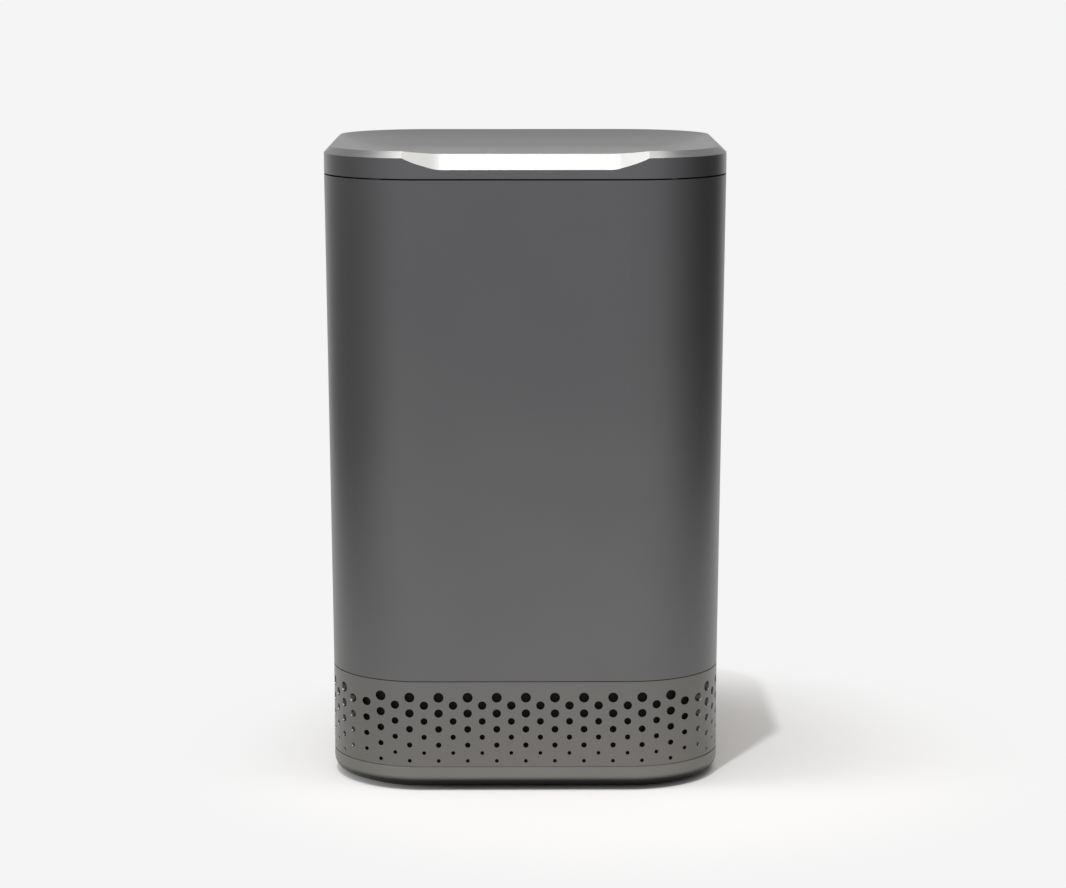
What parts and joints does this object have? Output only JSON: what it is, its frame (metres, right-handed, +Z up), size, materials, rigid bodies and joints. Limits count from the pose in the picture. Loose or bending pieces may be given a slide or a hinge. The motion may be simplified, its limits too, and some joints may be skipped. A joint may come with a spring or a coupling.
{
  "type": "electric food waste composter",
  "caption": "Countertop composter: drafted rounded-square metal body on a perforated band, dished hinged lid, heated bucket with stirrer, gearbox, fan and rear filter drawer.",
  "frame": {"origin": "middle of the footprint on the surface that it stands on", "axes": "+Z up, the front with the scooped lid edge faces -Y, +X to the right seen from the front"},
  "size_m": [0.22, 0.211, 0.3496],
  "materials": {
    "anodised_shell": "bead-blasted, graphite anodised, satin",
    "anodised_band": "bead-blasted, graphite anodised, satin",
    "base_casting": "die cast, machined, bead-blasted",
    "dark_plastic": "fine moulded texture",
    "black_foam": "open-cell foam",
    "rubber": "matt",
    "zinc_steel": "zinc plated",
    "well_aluminium": "spun, bare",
    "seal_silicone": "matt silicone",
    "heater_aluminium": "cast with its heating element",
    "ceramic_felt": "needled felt",
    "ceramic": "glazed body",
    "gearbox_plastic": "glass-filled, satin",
    "sintered_bronze": "sintered, oiled",
    "ground_steel": "ground",
    "acetal": "cut teeth, natural acetal",
    "motor_steel": "black passivated can",
    "board": "solder-masked board",
    "socket_plastic": "moulded, semi-gloss",
    "coated_pot": "ceramic non-stick",
    "blade_steel": "tumbled stainless",
    "canister_paper": "moulded, natural",
    "light_guide": "smoked acrylic light guide",
    "button_metal": "bead-blasted, graphite anodised, satin",
    "sensor_plastic": "moulded"
  },
  "bodies": {
    "housing": {"outer_sleeve": "anodised_shell", "vent_ring": "anodised_band", "dust_screen": "black_foam", "base_plate": "base_casting", "foot_ring": "rubber", "base_screws": "zinc_steel", "chassis_frame": "dark_plastic", "tie_rods": "zinc_steel", "tie_nuts": "zinc_steel", "top_deck": "dark_plastic", "bucket_well": "well_aluminium", "well_seal": "seal_silicone", "heater_ring": "heater_aluminium", "insulation_pad": "ceramic_felt", "thermostat": "ceramic", "shaft_seal": "seal_silicone", "gearbox_base": "gearbox_plastic", "gearbox_cover": "gearbox_plastic", "gearbox_screws": "zinc_steel", "shaft_bearings": "sintered_bronze", "compound_axle": "ground_steel", "drive_motor": "motor_steel", "fan_frame": "dark_plastic", "fan_screws": "zinc_steel", "air_duct": "dark_plastic", "filter_bay": "dark_plastic", "power_board": "board", "control_board": "board", "power_module": "socket_plastic", "inlet_pins": "sintered_bronze", "hinge_bracket": "motor_steel", "hinge_screws": "zinc_steel", "hinge_pin": "ground_steel", "deck_magnets": "zinc_steel", "lid_sensor": "sensor_plastic"},
    "lid": {"lid_shell": "anodised_shell", "lid_liner": "dark_plastic", "lid_gasket": "seal_silicone", "liner_screws": "zinc_steel", "lid_magnets": "zinc_steel", "light_ring": "light_guide", "button_board": "board", "lid_hinge_leaf": "motor_steel", "leaf_screws": "zinc_steel"},
    "button": {"start_button": "button_metal"},
    "bucket_set": {"bucket": "coated_pot", "bucket_grips": "dark_plastic", "bucket_bush": "sintered_bronze", "breaker_bars": "blade_steel"},
    "stirrer": {"agitator": "blade_steel"},
    "drive": {"drive_shaft": "ground_steel", "drive_gear": "acetal", "drive_dog": "ground_steel"},
    "cluster": {"compound_gear": "acetal"},
    "pinion": {"motor_pinion": "sintered_bronze"},
    "fan": {"fan_impeller": "dark_plastic"},
    "drawer": {"filter_drawer": "anodised_shell", "drawer_seal": "seal_silicone", "filter_canisters": "canister_paper"},
    "rocker": {"rocker_switch": "socket_plastic"}
  },
  "joints": [
    {"name": "lid_hinge", "type": "hinge", "parent": "housing", "child": "lid", "pos_m": [0, 0.1036, 0.33505], "axis": [-1, 0, 0], "range_deg": [0, 95]},
    {"name": "button_press", "type": "slide", "parent": "lid", "child": "button", "axis": [0, 0, -1], "range_m": [0, 0.0012], "stiffness_N_per_m": 400, "springref_m": -0.0003},
    {"name": "bucket_lift", "type": "slide", "parent": "housing", "child": "bucket_set", "axis": [0, 0, 1], "range_m": [0, 0.009]},
    {"name": "stirrer_spin", "type": "hinge", "parent": "bucket_set", "child": "stirrer", "pos_m": [0, -0.012, 0.15], "axis": [0, 0, 1], "continuous": true},
    {"name": "drive_spin", "type": "hinge", "parent": "housing", "child": "drive", "pos_m": [0, -0.012, 0.12], "axis": [0, 0, 1], "continuous": true},
    {"name": "cluster_spin", "type": "hinge", "parent": "housing", "child": "cluster", "pos_m": [-0.04222, -0.03637, 0.112], "axis": [0, 0, 1], "continuous": true},
    {"name": "pinion_spin", "type": "hinge", "parent": "housing", "child": "pinion", "pos_m": [-0.04847, -0.00092, 0.112], "axis": [0, 0, 1], "continuous": true},
    {"name": "fan_spin", "type": "hinge", "parent": "housing", "child": "fan", "pos_m": [-0.016, 0.052, 0.045], "axis": [0, 0, 1], "continuous": true},
    {"name": "drawer_slide", "type": "slide", "parent": "housing", "child": "drawer", "axis": [0, 1, 0], "range_m": [0, 0.055]},
    {"name": "switch_rock", "type": "hinge", "parent": "housing", "child": "rocker", "pos_m": [0.041, 0.0975, 0.1015], "axis": [1, 0, 0], "range_deg": [0, 16]}
  ],
  "couplings": [
    {"joint": "stirrer_spin", "follows": "drive_spin", "ratio": 1},
    {"joint": "cluster_spin", "follows": "drive_spin", "ratio": -3.3333},
    {"joint": "pinion_spin", "follows": "drive_spin", "ratio": 10}
  ]
}
